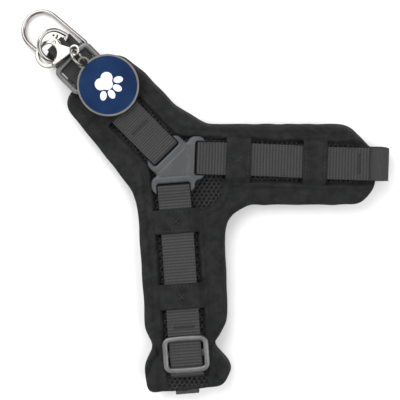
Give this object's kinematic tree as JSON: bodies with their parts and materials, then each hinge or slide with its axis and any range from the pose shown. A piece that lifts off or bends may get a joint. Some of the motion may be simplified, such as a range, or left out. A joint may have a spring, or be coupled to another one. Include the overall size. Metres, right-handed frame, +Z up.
{
  "type": "no pull dog harness",
  "caption": "Step-in no pull dog harness folded flat: soft padded Y halves, webbing straps on a tri-slot plate, sliders, D-rings, clasp and round tag.",
  "frame": {"origin": "centre of the far half's tri-slot plate, on its outer face, where the folded harness rests on a table", "axes": "+Z up through the folded stack, +X along the girth arm, +Y towards the back arm and its rings"},
  "size_m": [0.2266, 0.2375, 0.0307],
  "materials": {
    "lining_fabric": "smooth knitted lining",
    "foam": "foam padding",
    "suede_fabric": "brushed soft fabric",
    "air_mesh": "open air mesh",
    "plate_plastic": "satin moulded",
    "webbing": "ribbed nylon webbing",
    "slider_metal": "satin",
    "chrome": "polished plating",
    "spring_steel": "drawn wire",
    "navy_enamel": "glossy enamel",
    "white_enamel": "glossy enamel"
  },
  "bodies": {
    "far_half": {"far_lining": "lining_fabric", "far_foam_core": "foam", "far_padded_rim": "suede_fabric", "far_mesh_panel": "air_mesh", "far_tri_slot_plate": "plate_plastic", "far_back_strap": "webbing", "far_girth_strap": "webbing", "far_chest_strap": "webbing", "far_back_keeper": "suede_fabric", "far_girth_keeper_inner": "suede_fabric", "far_girth_keeper_outer": "suede_fabric", "far_chest_keeper_upper": "suede_fabric", "far_chest_keeper_lower": "suede_fabric"},
    "near_half": {"near_lining": "lining_fabric", "near_foam_core": "foam", "near_padded_rim": "suede_fabric", "near_mesh_panel": "air_mesh", "near_tri_slot_plate": "plate_plastic", "near_back_strap": "webbing", "near_girth_strap": "webbing", "near_chest_strap": "webbing", "near_back_keeper": "suede_fabric", "near_girth_keeper_inner": "suede_fabric", "near_girth_keeper_outer": "suede_fabric", "near_chest_keeper_upper": "suede_fabric", "near_chest_keeper_lower": "suede_fabric"},
    "far_back_slider": {"far_back_slider": "slider_metal"},
    "far_chest_slider": {"far_chest_slider": "slider_metal"},
    "near_back_slider": {"near_back_slider": "slider_metal"},
    "near_chest_slider": {"near_chest_slider": "slider_metal"},
    "large_d_ring": {"far_large_d_ring": "chrome"},
    "small_d_ring": {"near_small_d_ring": "chrome"},
    "clasp": {"clasp_body": "chrome", "clasp_gate_pin": "chrome", "clasp_spring": "spring_steel"},
    "clasp_gate": {"clasp_gate": "chrome"},
    "jump_ring": {"jump_ring": "chrome"},
    "tag": {"tag_plate": "chrome", "tag_enamel": "navy_enamel", "tag_paw_print": "white_enamel"}
  },
  "joints": [
    {"name": "open_halves", "type": "hinge", "parent": "far_half", "child": "near_half", "pos_m": [0.1297, -0.0125, 0.009], "axis": [0.6211, 0.7837, 0], "range_deg": [0, 45]},
    {"name": "large_ring_swing", "type": "hinge", "parent": "far_half", "child": "large_d_ring", "pos_m": [-0.06519, 0.06581, 0.0034], "axis": [-0.6508, -0.7593, 0], "range_deg": [0, 60]},
    {"name": "small_ring_swing", "type": "hinge", "parent": "near_half", "child": "small_d_ring", "pos_m": [-0.07183, 0.06958, 0.0146], "axis": [0.4067, 0.9135, 0], "range_deg": [0, 30]},
    {"name": "clasp_swing", "type": "hinge", "parent": "small_d_ring", "child": "clasp", "pos_m": [-0.08181, 0.0626, 0.01764], "axis": [-0.4067, -0.9135, 0], "range_deg": [0, 30]},
    {"name": "gate_press", "type": "hinge", "parent": "clasp", "child": "clasp_gate", "pos_m": [-0.07435, 0.0722, 0.01992], "axis": [-0.2924, 0, 0.9563], "range_deg": [0, 13], "stiffness_Nm_per_rad": 0.002, "springref_deg": -34.38},
    {"name": "jump_ring_swing", "type": "hinge", "parent": "clasp", "child": "jump_ring", "pos_m": [-0.0623, 0.0672, 0.0236], "axis": [-0.7659, -0.4883, -0.4182], "range_deg": [0, 12]},
    {"name": "tag_swing", "type": "hinge", "parent": "jump_ring", "child": "tag", "pos_m": [-0.06033, 0.06268, 0.02526], "axis": [-0.7659, -0.4883, -0.4182], "range_deg": [0, 50]},
    {"name": "near_back_slider_travel", "type": "slide", "parent": "near_half", "child": "near_back_slider", "axis": [-0.7035, 0.7107, 0], "range_m": [-0.009, 0]},
    {"name": "far_back_slider_travel", "type": "slide", "parent": "far_half", "child": "far_back_slider", "axis": [-0.7031, 0.7111, 0], "range_m": [-0.002, 0.003]},
    {"name": "near_chest_slider_travel", "type": "slide", "parent": "near_half", "child": "near_chest_slider", "axis": [0.0746, -0.9972, 0], "range_m": [-0.012, 0.003]},
    {"name": "far_chest_slider_travel", "type": "slide", "parent": "far_half", "child": "far_chest_slider", "axis": [0.0746, -0.9972, 0], "range_m": [-0.012, 0.003]}
  ],
  "couplings": [
    {"joint": "clasp_swing", "follows": "small_ring_swing", "ratio": 1}
  ]
}
